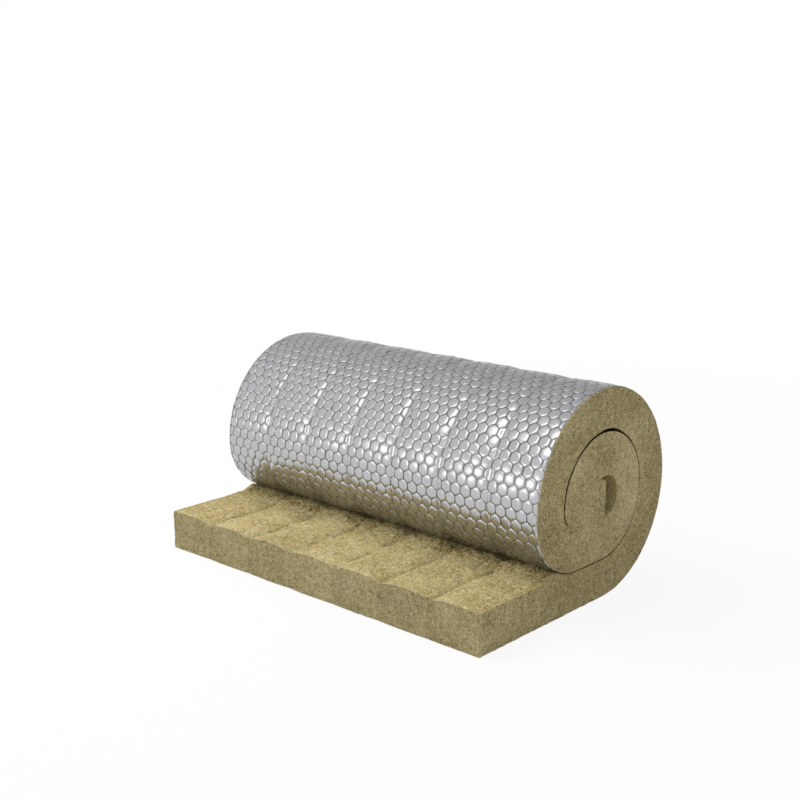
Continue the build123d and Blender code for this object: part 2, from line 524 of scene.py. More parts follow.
# %% [markdown]
# Wool mat
#
# The wool is a flat block that is cut into many bands, so that it can bend, and then wound like the
# facing. Its other side is not at a constant depth: the tongue's top swells in panels and rises where
# the roll presses on it, the turns lie close with a narrow gap, and the inner end leaves a half-round
# hole. Solids joined with booleans would give this outline as well, but with uneven faces that no noise
# can move well. Here each flat point lies on a line from the facing side to the wool side at the same s.

# %% Gap between the turns
GAP_TIGHT = 0.0008
GAP_WIDE = 0.0040
GAP_FRONT = 0.0030
GAP_BACK = 0.0015
GAP_UNDER = 0.0010
GAP_WIDE_ANGLE = math.radians(172)
GAP_WIDE_SPREAD = math.radians(22)
GAP_FRONT_TURN = (2.1 * QUARTER, 2.6 * QUARTER)
GAP_UNDER_TURN = (0.3 * QUARTER, 1.0 * QUARTER)
GAP_BACK_TURN = (1.0 * QUARTER, 1.4 * QUARTER)


def turn_gap(angle):
    """Width of the gap round the second turn, by the angle from straight down towards the back."""
    wide = GAP_WIDE * math.exp(-(((angle - GAP_WIDE_ANGLE) / GAP_WIDE_SPREAD) ** 2))
    front = GAP_FRONT * smooth_step(angle, *GAP_FRONT_TURN)
    under = GAP_UNDER * (1 - smooth_step(angle, *GAP_UNDER_TURN))
    back = GAP_BACK * smooth_step(angle, *GAP_BACK_TURN)
    return GAP_TIGHT + wide + front + under + back


print("gap at the top", round(turn_gap(GAP_WIDE_ANGLE), 4))

# %% [markdown]
# The tongue's top shows the panels, with grooves that wander and are pulled in unevenly by the stitches.
# Towards the roll it rises to a soft ridge, which is lower and shorter at the mat's two ends. Beyond the
# ridge the wool lies against the roll.

# %% Top of the tongue
WOOL_SWELL = 0.0080
WOOL_GROOVE = 0.0055
GROOVE_REACH = 0.006
SEAM_WANDER = 0.0020
SEAM_WANDER_LENGTH = 0.06
SEAM_WANDER_LAYER = 0.5
SEAM_PULL_LENGTH = 0.045
SEAM_PULL_LAYER = 3.5
NIP_AHEAD = 0.076
NIP_PLACE = NIP_Y - NIP_AHEAD
NIP_RISE = 0.016
NIP_RISE_REACH = 0.060
NIP_END_WIDTH = 0.11
NIP_END_DROP = 0.004
NIP_END_REACH = 0.034
NIP_FLATTEN = 0.05
NIP_PRESS = 0.003
NIP_PRESS_START = 0.025
NIP_PRESS_END = 0.055
NIP_SLIT_WIDTH = 0.03


def tongue_top(x, y):
    """Height of the open wool face of the tongue."""
    near_end = smooth_step(abs(x), HALF_WIDTH - NIP_END_WIDTH, HALF_WIDTH)
    reach = NIP_RISE_REACH + (NIP_END_REACH - NIP_RISE_REACH) * near_end
    rise = smooth_step(y, NIP_PLACE - reach, NIP_PLACE)
    lift = NIP_RISE - NIP_END_DROP * near_end
    x += SEAM_WANDER * noise.noise((y / SEAM_WANDER_LENGTH, x / PANEL_WIDTH, SEAM_WANDER_LAYER))
    pull = 1 + noise.noise((y / SEAM_PULL_LENGTH, x / PANEL_WIDTH, SEAM_PULL_LAYER))
    groove = WOOL_GROOVE * pull * math.exp(-seam_distance(x) / GROOVE_REACH)
    panels = WOOL_SWELL * panel_place(x) ** 2 + groove
    return MAT_THICKNESS - panels * (1 - NIP_FLATTEN * rise) + lift * rise


def under_second_turn(x, y):
    """Height of the gap under the second turn. Ahead of the nip the wool presses into the roll."""
    inside = smooth_step(HALF_WIDTH - abs(x), 0.0, NIP_SLIT_WIDTH)
    press = inside * smooth_step(NIP_Y - y, NIP_PRESS_START, NIP_PRESS_END)
    gap = GAP_TIGHT + GAP_UNDER
    radius = INNER_RADIUS + gap - (gap + NIP_PRESS) * press
    ahead = min(max(NIP_Y - y, 0.0), radius)
    return AXIS_Z - math.sqrt(radius * radius - ahead * ahead)


print("nip at y", round(NIP_PLACE, 4))

# %% [markdown]
# The wool side follows the strip run by run. On the floor it is the tongue's top, and in the outer turn
# the far wall of the gap. Past the nip the gap closes. The second turn then goes round the half-round hole
# and folds back over the inner end, where it leaves a crease.

# %% The wool side of the winding
GAP_CORE = GAP_TIGHT * 0.2
SLIT_CLOSES = 0.36
SLIT_CLOSED = 0.55
CREASE_FALL = 0.012
CREASE_OPEN = 0.012


def wool_side(x, s):
    """Where the wool side of the mat lies at a place along it."""
    index, into = find_run(s)
    run = RUNS[index]
    angle = run.start + into / run.radius if run.radius else 0.0
    if index == FLOOR_RUN:
        across = run.y + into
        if across > NIP_Y:
            across = NIP_Y + (across - NIP_Y) * (AXIS_Y - NIP_Y) / (SAG_Y - NIP_Y)
        return Vector((x, across, min(tongue_top(x, across), under_second_turn(x, across))))
    if index in (SAG_BEND, OUTER_TURN):
        return from_axis(x, AXIS_Y, AXIS_Z, INNER_RADIUS + turn_gap(angle), angle)
    if index == NIP_BEND:
        open_share = 1 - smooth_step(angle / QUARTER - 3, SLIT_CLOSES, SLIT_CLOSED)
        slack = (GAP_TIGHT + GAP_FRONT) * open_share + GAP_CORE
        return from_axis(x, NIP_Y, AXIS_Z, CORE_RADIUS + slack, angle)
    if index == UNDER_RUN:
        across = NIP_Y + into / run.length * (INNER_END_Y - NIP_Y)
        return Vector((x, across, AXIS_Z - CORE_RADIUS - GAP_CORE))
    if index == SECOND_TURN and angle <= 2 * QUARTER:
        return from_axis(x, INNER_END_Y, AXIS_Z, CORE_RADIUS, angle)
    crease_z = AXIS_Z + CORE_RADIUS
    if index == SECOND_TURN:
        share = (angle - 2 * QUARTER) / QUARTER
        return Vector((x, INNER_END_Y - CREASE_LENGTH * share, crease_z - CREASE_FALL * share ** 2))
    share = (s - RUN_STARTS[CORE_BEND]) / (MAT_LENGTH - RUN_STARTS[CORE_BEND])
    fall = CREASE_FALL * (1 - share) ** 2 + CREASE_OPEN * share ** 2
    return Vector((x, INNER_END_Y - CREASE_LENGTH * (1 - share), crease_z - fall))


print("wool at the front", round(wool_side(0.0, 0.0).z, 4), "thick in the middle")

# %% [markdown]
# Every other point of the wool lies between its two sides. Under the foil the wool stays a little below
# the netting. At the mat's edges it comes up round the foil as a thin, uneven rim.

# %% Points of the wool
SKIN = 0.0012
RIM_STEP = 0.001
RIM_LEVEL = -0.0007
RIM_RELIEF_SHARE = 0.3
RIM_NOISE = 0.0012
RIM_NOISE_LENGTH = 0.016
RIM_NOISE_ACROSS = 9.0
RIM_NOISE_LAYER = 7.5
RIM_NOISE_DROP = 0.6
RIM_FADE_START = RUN_STARTS[SECOND_TURN] + RUNS[SECOND_TURN].length * 0.9


def mat_point(x, s, depth):
    """Where a point of the flat wool block lies, by its depth from 0 at the facing to 1."""
    edge = min(HALF_WIDTH - abs(x), s)
    rim = 1 - smooth_step(edge, RIM_WIDTH, RIM_WIDTH + RIM_STEP)
    outline = RIM_LEVEL * (1 - smooth_step(s, RIM_FADE_START, RUN_STARTS[INNER_END]))
    if s < CELLS_END:
        wander = noise.noise((s / RIM_NOISE_LENGTH, x * RIM_NOISE_ACROSS, RIM_NOISE_LAYER))
        outline += RIM_NOISE * (wander - RIM_NOISE_DROP)
        outline += facing_relief(x, s) * RIM_RELIEF_SHARE
    level = (wire_level(x, s) - SKIN) * (1 - rim) + outline * rim
    return wind(x, s, level).lerp(wool_side(x, s), depth)


print("rim of wool", round(RIM_WIDTH, 4), "wide")

# %% [markdown]
# The block needs short bands where it bends tightly and on the open tongue, and longer ones elsewhere.
# Loops across it follow the panels. Only the faces that are seen up close, the tongue's top and the
# front, get a finer cut.

# %% The flat block and its cuts
TONGUE_END = NIP_PLACE - FRONT_Y
FINE_STEP = 0.0048
RUN_STEPS = (0.0048, 0.013, 0.013, 0.009, 0.013, 0.0105, 0.006, 0.010)
DEPTH_BANDS = 14
SLIT_EDGE = 0.984
PANEL_CUTS = (0.0, 0.06, 0.22, 0.5, 0.78, 0.94)
EDGE_CUTS = (RIM_WIDTH, RIM_WIDTH + RIM_STEP, 0.006, 0.014)
SHARP_EDGE = QUARTER / 2


def band_places():
    """Places along the mat where the block is cut into bands."""
    places = []
    for run, start, step in zip(RUNS, RUN_STARTS, RUN_STEPS):
        count = max(int(run.length / step), 1)
        places += [start + run.length * cut / count for cut in range(count)]
    return sorted(places[1:] + [RIM_WIDTH, RIM_WIDTH + RIM_STEP])


def slice_block(build, places, axis, region=None):
    """Cuts a mesh, or some of its faces, by planes across one of its axes."""
    for place in places:
        faces = [face for face in build.faces if region is None or region(face)]
        edges = {edge for face in faces for edge in face.edges}
        verts = {vert for face in faces for vert in face.verts}
        normal = Vector((0, 0, 0))
        normal[axis] = 1
        bmesh.ops.bisect_plane(
            build, geom=[*verts, *edges, *faces], plane_co=normal * place, plane_no=normal
        )


def is_open_face(face):
    """True on the tongue's top and on the front face of the flat block."""
    middle = face.calc_center_median()
    on_top = middle.z > 1 - WELD and middle.y < TONGUE_END
    return on_top or middle.y < WELD


def flat_block():
    """The mat as a flat block: x across, y along it, z its depth from the facing, 0 to 1."""
    build = bmesh.new()
    bmesh.ops.create_cube(build, size=1.0)
    for vert in build.verts:
        vert.co.x *= MAT_WIDTH
        vert.co.y = (vert.co.y + 0.5) * MAT_LENGTH
        vert.co.z += 0.5
    slice_block(build, band_places(), 1)
    slice_block(build, [band / DEPTH_BANDS for band in range(1, DEPTH_BANDS)] + [SLIT_EDGE], 2)
    across = []
    for panel in range(PANEL_COUNT):
        across += [(panel + cut) * PANEL_WIDTH - HALF_WIDTH for cut in PANEL_CUTS]
    across += [side * (HALF_WIDTH - cut) for side in (-1, 1) for cut in EDGE_CUTS]
    slice_block(build, sorted(across)[1:], 0)
    fine = int(MAT_WIDTH / FINE_STEP)
    slice_block(build, [MAT_WIDTH * cut / fine - HALF_WIDTH for cut in range(1, fine)], 0, is_open_face)
    return build


block = flat_block()
for edge in block.edges:
    edge.smooth = edge.calc_face_angle(0.0) < SHARP_EDGE
print("flat block with", len(block.faces), "faces")

# %% [markdown]
# Once the block is wound, values painted on its points say where each lies: its depth, its place along
# the mat, and whether it is on a cut face, on the open top, in the slit between the turns or in the band
# that the roll has teased. The materials and the loose fibres read them: the wool's colour takes painted
# light on the open top and painted shade on the front, in the slit and in the teased band. Texture
# painting could give the same masks, but it needs a picture, and these follow from the sizes.

# %% Winding and painting the wool
DEPTH_LAYER = "depth"
ALONG_LAYER = "along"
TEASE_AND_SHADE_LAYER = "teased"
CUT_LAYER = "cut"
SLIT_LAYER = "slit"
FRONT_CUT = 1.0
END_CUT = 0.5
PALE_REACH = 0.014
PALE_TOP = 0.44
PALE_EDGE = 0.15
PALE_FADE = 0.13
TEASED_REACH = 0.060
TEASED_FULL = 0.012
TEASED_EDGE = 0.040
SLIT_FADE = 0.05
CREASE_START = 2 / 3


def slit_shade(s):
    """1 where the wool side is a wall of the slit between the turns or of the crease, else 0."""
    index, into = find_run(s)
    share = into / RUNS[index].length
    if index < NIP_BEND:
        return smooth_step(FRONT_Y + s, NIP_Y, NIP_Y + SLIT_FADE)
    if index == NIP_BEND:
        return 1 - smooth_step(share, SLIT_CLOSES, SLIT_CLOSED)
    if index == SECOND_TURN:
        return smooth_step(share, CREASE_START, CREASE_START + SLIT_FADE)
    if index == INNER_END:
        return 1 - share
    return float(index == CORE_BEND)


def at_end(vert):
    """True on the two ends of the roll."""
    return abs(abs(vert.co.x) - HALF_WIDTH) < WELD


def at_front(vert):
    """True on the front face of the tongue."""
    return vert[along_layer] < WELD


def on_open_side(vert):
    """True on the tongue's top."""
    return vert[depth_layer] > 1 - WELD and vert[along_layer] < TONGUE_END


def paint(vert):
    """Paints on a point of the wound wool where it lies."""
    inwards = HALF_WIDTH - abs(vert.co.x)
    if vert[depth_layer] > 1 - WELD:
        vert[slit_layer] = slit_shade(vert[along_layer])
    if on_open_side(vert):
        # The teased band is also darkened in the material with painted shade under the roll.
        near = smooth_step(vert.co.y, NIP_PLACE - TEASED_REACH, NIP_PLACE - TEASED_FULL)
        vert[tease_and_shade_layer] = smooth_step(inwards, 0.0, TEASED_EDGE) * near
    if at_front(vert):
        vert[cut_layer] = FRONT_CUT
    elif at_end(vert):
        vert[cut_layer] = END_CUT
    elif on_open_side(vert):
        # Painted light: the open top is paler, most of all at its front edge, less towards the roll and the
        # ends.
        top = PALE_TOP * (1 - smooth_step(vert.co.y, NIP_PLACE - PALE_FADE, NIP_PLACE))
        top *= smooth_step(inwards, 0.0, PALE_EDGE)
        vert[cut_layer] = -max(math.exp(-vert[along_layer] / PALE_REACH), top)


depth_layer = block.verts.layers.float.new(DEPTH_LAYER)
along_layer = block.verts.layers.float.new(ALONG_LAYER)
tease_and_shade_layer = block.verts.layers.float.new(TEASE_AND_SHADE_LAYER)
cut_layer = block.verts.layers.float.new(CUT_LAYER)
slit_layer = block.verts.layers.float.new(SLIT_LAYER)
for vert in block.verts:
    x, s, depth = vert.co
    vert[depth_layer] = depth
    vert[along_layer] = s
    vert.co = mat_point(x, s, depth)
bmesh.ops.recalc_face_normals(block, faces=block.faces[:])
block.normal_update()
for vert in block.verts:
    paint(vert)
print("wound wool with", len(block.verts), "points")

# %% [markdown]
# Cut wool is never flat: tufts stand out and lie back by a few millimetres. Each point that can be seen
# moves along its normal by a sum of noises from broad to fine. The front face is drawn in a little at every
# stitch row, and the teased band is rougher than the rest.

# %% Tufts of the wool
TUFT_SIZES = ((0.070, 0.0022), (0.024, 0.0014), (0.009, 0.0012))
FACING_CLEAR = 0.06
END_TUFT_SHARE = 0.6
FRONT_NICK = 0.0040
NICK_REACH = 0.007
TEASED_TUFT = 0.0034
TEASED_SIZE = 0.011


def tuft(point):
    """How far the wool stands out at a point, from a few noises of falling size."""
    return sum(height * noise.noise(point / size) for size, height in TUFT_SIZES)


def stands_out(vert):
    """How far a point that can be seen moves along its normal."""
    weight = smooth_step(vert[depth_layer], 0.0, FACING_CLEAR)
    if at_end(vert):
        weight *= END_TUFT_SHARE
    nick = FRONT_NICK * math.exp(-seam_distance(vert.co.x) / NICK_REACH) if at_front(vert) else 0.0
    teased = TEASED_TUFT * noise.noise(vert.co / TEASED_SIZE) * vert[tease_and_shade_layer]
    return (tuft(vert.co) - nick) * weight + teased


moves = []
for vert in block.verts:
    if at_end(vert) or on_open_side(vert) or at_front(vert):
        moves.append((vert, vert.normal * stands_out(vert)))
for vert, move in moves:
    vert.co += move
wool_body = make_piece("wool_body", block, "wool", "wool_mat")

# %% [markdown]
# Loose fibres
#
# The surface of cut wool is fuzzy, most of all where the roll rubs the mat as it is wound. Hair would
# give the fuzz, but it is no mesh and is lost in most exports. Geometry Nodes scatter short bent strands
# over the open faces instead: points are spread by a density that is painted on the vertices, a strand
# is put on each, turned and scaled at random, and the result is made a real mesh.


# %% Strands by Geometry Nodes
def add_node(tree, kind, **values):
    """Adds a node and sets its inputs by name, or its own settings where no input has that name."""
    node = tree.nodes.new(kind)
    settings = {name: value for name, value in values.items() if name not in node.inputs}
    for name, value in settings.items():
        setattr(node, name, value)
    for name, value in values.items():
        if name not in settings:
            node.inputs[name].default_value = value
    return node


FUZZ_LAYER = "fuzz"
SHADE_LAYER = "shade"
STRAND_STEPS = 3
STRAND_SIDES = 3
STRAND_BEND = (0.55, 0.09)
STRAND_TIP_LIFT = 0.45
STRAND_ROOT_DEPTH = 0.35
STRAND_SMALLEST = (0.45, -1.5, 0.2)
STRAND_LARGEST = (1.4, 1.5, 1.5)


def strand_tree(name, density, length, lift, radius, tilt, seed):
    """A node group that turns a surface into strands lying on it."""
    tree = bpy.data.node_groups.new(name, "GeometryNodeTree")
    tree.interface.new_socket("Geometry", in_out="INPUT", socket_type="NodeSocketGeometry")
    tree.interface.new_socket("Geometry", in_out="OUTPUT", socket_type="NodeSocketGeometry")
    source = tree.nodes.new("NodeGroupInput")
    result = tree.nodes.new("NodeGroupOutput")
    painted = add_node(tree, "GeometryNodeInputNamedAttribute", data_type="FLOAT", Name=FUZZ_LAYER)
    amount = add_node(tree, "ShaderNodeMath", operation="MULTIPLY")
    amount.inputs[1].default_value = density
    points = add_node(tree, "GeometryNodeDistributePointsOnFaces", Seed=seed)
    line = add_node(
        tree, "GeometryNodeCurveQuadraticBezier", Resolution=STRAND_STEPS,
        Start=(0.0, 0.0, -lift * STRAND_ROOT_DEPTH),
        Middle=(length * STRAND_BEND[0], length * STRAND_BEND[1], lift),
        End=(length, 0.0, lift * STRAND_TIP_LIFT),
    )
    outline = add_node(tree, "GeometryNodeCurvePrimitiveCircle", Resolution=STRAND_SIDES, Radius=radius)
    strand = tree.nodes.new("GeometryNodeCurveToMesh")
    placed = tree.nodes.new("GeometryNodeInstanceOnPoints")
    turn = add_node(tree, "FunctionNodeRandomValue", data_type="FLOAT_VECTOR", Seed=seed + 1)
    turn.inputs["Min"].default_value = (-tilt, -tilt, -math.pi)
    turn.inputs["Max"].default_value = (tilt, tilt, math.pi)
    angles = tree.nodes.new("FunctionNodeEulerToRotation")
    turned = tree.nodes.new("GeometryNodeRotateInstances")
    size = add_node(tree, "FunctionNodeRandomValue", data_type="FLOAT_VECTOR", Seed=seed + 2)
    size.inputs["Min"].default_value = STRAND_SMALLEST
    size.inputs["Max"].default_value = STRAND_LARGEST
    shade = add_node(tree, "FunctionNodeRandomValue", data_type="FLOAT", Seed=seed + 3)
    stored = add_node(
        tree, "GeometryNodeStoreNamedAttribute", data_type="FLOAT", domain="INSTANCE", Name=SHADE_LAYER
    )
    real = tree.nodes.new("GeometryNodeRealizeInstances")
    join = tree.links.new
    join(painted.outputs["Attribute"], amount.inputs[0])
    join(source.outputs["Geometry"], points.inputs["Mesh"])
    join(amount.outputs["Value"], points.inputs["Density"])
    join(line.outputs["Curve"], strand.inputs["Curve"])
    join(outline.outputs["Curve"], strand.inputs["Profile Curve"])
    join(points.outputs["Points"], placed.inputs["Points"])
    join(strand.outputs["Mesh"], placed.inputs["Instance"])
    join(points.outputs["Rotation"], placed.inputs["Rotation"])
    join(size.outputs["Value"], placed.inputs["Scale"])
    join(placed.outputs["Instances"], turned.inputs["Instances"])
    join(turn.outputs["Value"], angles.inputs["Euler"])
    join(angles.outputs["Rotation"], turned.inputs["Rotation"])
    join(turned.outputs["Instances"], stored.inputs["Geometry"])
    join([out for out in shade.outputs if out.enabled][0], stored.inputs["Value"])
    join(stored.outputs["Geometry"], real.inputs["Geometry"])
    join(real.outputs["Geometry"], result.inputs["Geometry"])
    return tree


# %% [markdown]
# A copy of the wool is painted with the density and loses its bare faces. The node group then turns what
# is left into strands, and their mesh takes its place.


# %% Strands on the wool
def strands_on(name, painted, tree):
    """A piece of strands on those faces of the wool where the painted density is not zero."""
    build = bmesh.new()
    build.from_mesh(wool_body.data)
    layer = build.verts.layers.float.new(FUZZ_LAYER)
    depth = build.verts.layers.float[DEPTH_LAYER]
    for vert in build.verts:
        vert[layer] = painted(vert, vert[depth])
    bare = [face for face in build.faces if all(vert[layer] <= 0 for vert in face.verts)]
    bmesh.ops.delete(build, geom=bare, context="FACES")
    holder = make_piece(name, build, "wool")
    modifier = holder.modifiers.new("strands", "NODES")
    modifier.node_group = tree
    ready = holder.evaluated_get(bpy.context.evaluated_depsgraph_get())
    mesh = bpy.data.meshes.new_from_object(ready)
    mesh.materials.clear()
    holder.modifiers.clear()
    holder.data = mesh
    mesh.shade_smooth()
    mesh.calc_loop_triangles()
    print(name, len(mesh.loop_triangles), "triangles of strands")
    return holder


# %% [markdown]
# Three kinds of strands are made: short ones that lie on the tongue, shorter ones on the cut front and
# ends, and ones that stand up in a band in front of the roll, where its foil has teased the wool.

# %% Fuzz on the open faces and at the roll
NIP_BAND = 0.060
EDGE_CLEAR = 0.012
DEPTH_CLEAR = 0.12
SEAM_FUZZ = 0.5
SIDE_REACH = 0.004
NIP_PAST = 0.012
TOP_SPREAD = 0.25
LYING_SLOPE = 0.5
STANDING_SLOPE = 0.3
STANDING_FULL = 0.02
STANDING_RISE = 1.5


def is_side(vert):
    """True on the roll's two ends and on the front face."""
    return abs(vert.co.x) > HALF_WIDTH - SIDE_REACH or vert.co.y < FRONT_Y + SIDE_REACH


def on_tongue(vert):
    """True on the open wool face of the tongue."""
    return vert.co.y < NIP_PLACE + NIP_PAST and abs(vert.co.z / MAT_THICKNESS - 1) < TOP_SPREAD


def from_edges(vert):
    """Distance to the tongue's front edge or to the mat's nearest side."""
    return min(vert.co.y - FRONT_Y, HALF_WIDTH - abs(vert.co.x))


def lying_fuzz(vert, depth):
    """Lying strands cover the tongue and keep clear of its edges, which stay crisp."""
    if not on_tongue(vert) or vert.normal.z < LYING_SLOPE or from_edges(vert) < EDGE_CLEAR:
        return 0.0
    return 1.0 + SEAM_FUZZ * math.exp(-seam_distance(vert.co.x) / CREASE_REACH)


def side_fuzz(vert, depth):
    """Short strands cover the cut faces, but not near the facing, where they would stand past it."""
    return 1.0 if is_side(vert) and DEPTH_CLEAR < depth < 1 - DEPTH_CLEAR else 0.0


def standing_fuzz(vert, depth):
    """Standing strands get denser towards the roll."""
    at_edge = HALF_WIDTH - abs(vert.co.x) < EDGE_CLEAR
    if not on_tongue(vert) or vert.normal.z < STANDING_SLOPE or at_edge:
        return 0.0
    return smooth_step(vert.co.y, NIP_PLACE - NIP_BAND, NIP_PLACE - STANDING_FULL) ** STANDING_RISE


# Each kind has its number in a square metre, length, lift, radius, tilt and seed.
LYING_STRANDS = (20000.0, 0.012, 0.0020, 0.00040, 0.25, 3)
SIDE_STRANDS = (11000.0, 0.006, 0.0009, 0.00030, 0.12, 7)
STANDING_STRANDS = (70000.0, 0.012, 0.0055, 0.00045, 0.6, 11)
lying = strands_on("lying_fibres", lying_fuzz, strand_tree("lying", *LYING_STRANDS))
sides = strands_on("side_fibres", side_fuzz, strand_tree("sides", *SIDE_STRANDS))
standing = strands_on("standing_fibres", standing_fuzz, strand_tree("standing", *STANDING_STRANDS))

# %% [markdown]
# Materials
#
# A material is a tree of nodes. These helpers fill a colour ramp, mix two colours, read a value that is
# painted on a mesh and start a material with its shader.


# %% Material helpers
def add_ramp(tree, factor, stops):
    """A colour ramp on a factor, from (place, colour) stops."""
    ramp = tree.nodes.new("ShaderNodeValToRGB")
    elements = ramp.color_ramp.elements
    while len(elements) < len(stops):
        elements.new(0.5)
    for element, (place, colour) in zip(elements, stops):
        element.position = place
        element.color = (*colour, 1.0)
    tree.links.new(factor, ramp.inputs["Fac"])
    return ramp.outputs["Color"]


def mix_colours(tree, share, first, second):
    """The first colour, with a share of the second."""
    node = add_node(tree, "ShaderNodeMix", data_type="RGBA")
    inputs = [slot for slot in node.inputs if slot.enabled]
    for slot, value in zip(inputs, (share, first, second)):
        tree.links.new(value, slot)
    return [slot for slot in node.outputs if slot.enabled][0]


def read_layer(tree, name):
    """The value that is painted on the mesh under a name."""
    return add_node(tree, "ShaderNodeAttribute", attribute_name=name).outputs["Fac"]


def new_material(name):
    """A material with its node tree and its Principled shader."""
    material = bpy.data.materials.new(name)
    material.use_nodes = True
    return material, material.node_tree, material.node_tree.nodes["Principled BSDF"]


# %% [markdown]
# Both the wool and the foil show fine streaks: fibres in one, rolling marks in the other. A noise that
# is stretched along one direction gives them. It is a group, so each material sets its own scale.

# %% Streak group
def streak_group():
    """Noise stretched along a turned axis. Outputs a value from 0 to 1."""
    tree = bpy.data.node_groups.new("streaks", "ShaderNodeTree")
    for name, kind in (("Turn", "Vector"), ("Stretch", "Vector"), ("Scale", "Float")):
        tree.interface.new_socket(name, in_out="INPUT", socket_type="NodeSocket" + kind)
    tree.interface.new_socket("Value", in_out="OUTPUT", socket_type="NodeSocketFloat")
    source = tree.nodes.new("NodeGroupInput")
    result = tree.nodes.new("NodeGroupOutput")
    place = tree.nodes.new("ShaderNodeTexCoord")
    mapping = add_node(tree, "ShaderNodeMapping", vector_type="TEXTURE")
    cloud = add_node(tree, "ShaderNodeTexNoise", Detail=2.0, Roughness=0.6)
    tree.links.new(place.outputs["Object"], mapping.inputs["Vector"])
    tree.links.new(source.outputs["Turn"], mapping.inputs["Rotation"])
    tree.links.new(source.outputs["Stretch"], mapping.inputs["Scale"])
    tree.links.new(mapping.outputs["Vector"], cloud.inputs["Vector"])
    tree.links.new(source.outputs["Scale"], cloud.inputs["Scale"])
    tree.links.new(cloud.outputs["Fac"], result.inputs["Value"])
    return tree


STREAKS = streak_group()


def add_streaks(tree, turn, stretch, scale):
    """Places the streak group with its own direction and scale."""
    node = tree.nodes.new("ShaderNodeGroup")
    node.node_tree = STREAKS
    node.inputs["Turn"].default_value = [math.radians(value) for value in turn]
    node.inputs["Stretch"].default_value = stretch
    node.inputs["Scale"].default_value = scale
    return node.outputs["Value"]


def add_math(tree, operation, first, second):
    """A math node on two sockets or numbers."""
    node = tree.nodes.new("ShaderNodeMath")
    node.operation = operation
    for slot, value in zip(node.inputs, (first, second)):
        if isinstance(value, (int, float)):
            slot.default_value = value
        else:
            tree.links.new(value, slot)
    return node.outputs["Value"]


print("streak group with", len(STREAKS.nodes), "nodes")

# %% [markdown]
# Stone wool is spun from molten rock: straw-coloured fibres, matted in all directions, with darker
# hollows between the tufts. Three streak noises at odd angles stand for the fibres, and three cloudy
# ones for the grain, the tufts and the broad patches. Their weighted sum is the grain of the wool, which
# also drives its bump. A photograph of wool could be wrapped round the mat, but it would stretch and
# repeat, and noises on Object coordinates fill the cut faces and the top without a seam.

# %% Grain of the wool
# Each streak noise has its turn in degrees and its scale.
FIBRE_STREAKS = (((20, 35, 10), 620.0), ((75, 10, 40), 580.0), ((15, 80, 65), 660.0))
FIBRE_STRETCH = (1, 1, 8)
STREAK_SHARE = 0.25
# Each cloudy noise has its scale, detail, roughness and share.
WOOL_CLOUDS = ((270.0, 2.0, 0.6, 0.24), (80.0, 4.0, 0.65, 0.16), (11.0, 3.0, 0.55, 0.10))


def wool_grain(tree, place):
    """The grain of the matted fibres, a value near one half."""
    first, second, third = [add_streaks(tree, turn, FIBRE_STRETCH, scale) for turn, scale in FIBRE_STREAKS]
    grain = 0.0
    for scale, detail, roughness, share in WOOL_CLOUDS:
        cloud = add_node(tree, "ShaderNodeTexNoise", Scale=scale, Detail=detail, Roughness=roughness)
        tree.links.new(place, cloud.inputs["Vector"])
        grain = add_math(tree, "ADD", grain, add_math(tree, "MULTIPLY", cloud.outputs["Fac"], share))
    for operation in ("MAXIMUM", "MINIMUM"):
        crossed = add_math(tree, operation, add_math(tree, operation, first, second), third)
        grain = add_math(tree, "ADD", grain, add_math(tree, "MULTIPLY", crossed, STREAK_SHARE))
    return grain


print("wool grain of", len(FIBRE_STREAKS), "streaks and", len(WOOL_CLOUDS), "clouds")

# %% [markdown]
# The wool is not equally light all over. The front face is darker with painted shade, and calmer, as
# knife-cut wool is. The tone changes slowly along the mat, which tells the turns apart on the roll's ends.
# The open top is paler with painted light, fading towards the roll and the ends, most of all at its front
# edge.

# %% Tone of the wool
GRAIN_CONTRAST = 1.2
MEAN_TONE = 0.50
FRONT_SHADE = 0.024
FRONT_CALM = 0.45
PAINTED_LIGHT_TONE = 0.030
TURN_TONE = 0.0175
TURN_LEVEL = 0.6
TURN_TONES = (
    (0.0, 0.6), (RUN_STARTS[SAG_BEND], 0.6), (RUN_STARTS[SAG_BEND] + 0.2, 0.25),
    (RUN_STARTS[NIP_BEND], 0.0), (RUN_STARTS[UNDER_RUN], 1.0), (MAT_LENGTH, 1.0),
)


def wool_tone(tree, grain, cut):
    """The grain, with painted shade on the front face, a tone along the mat and painted light on the open
    top.
    """
    front = add_math(tree, "MAXIMUM", add_math(tree, "SUBTRACT", cut, END_CUT), 0.0)
    front = add_math(tree, "DIVIDE", front, FRONT_CUT - END_CUT)
    contrast = add_math(tree, "SUBTRACT", GRAIN_CONTRAST, add_math(tree, "MULTIPLY", front, FRONT_CALM))
    tone = add_math(tree, "MULTIPLY", add_math(tree, "SUBTRACT", grain, MEAN_TONE), contrast)
    tone = add_math(tree, "ADD", tone, MEAN_TONE)
    # Painted shade: the front face is made darker.
    tone = add_math(tree, "SUBTRACT", tone, add_math(tree, "MULTIPLY", front, FRONT_SHADE))
    turns = [(place / MAT_LENGTH, (level, level, level)) for place, level in TURN_TONES]
    turn = add_ramp(tree, add_math(tree, "DIVIDE", read_layer(tree, ALONG_LAYER), MAT_LENGTH), turns)
    turn = add_math(tree, "MULTIPLY", add_math(tree, "SUBTRACT", turn, TURN_LEVEL), TURN_TONE)
    # Painted light on the open top.
    pale = add_math(tree, "MAXIMUM", add_math(tree, "MULTIPLY", cut, -PAINTED_LIGHT_TONE), 0.0)
    return add_math(tree, "ADD", tone, add_math(tree, "ADD", turn, pale))


print("wool tone in", len(TURN_TONES), "steps along the mat")
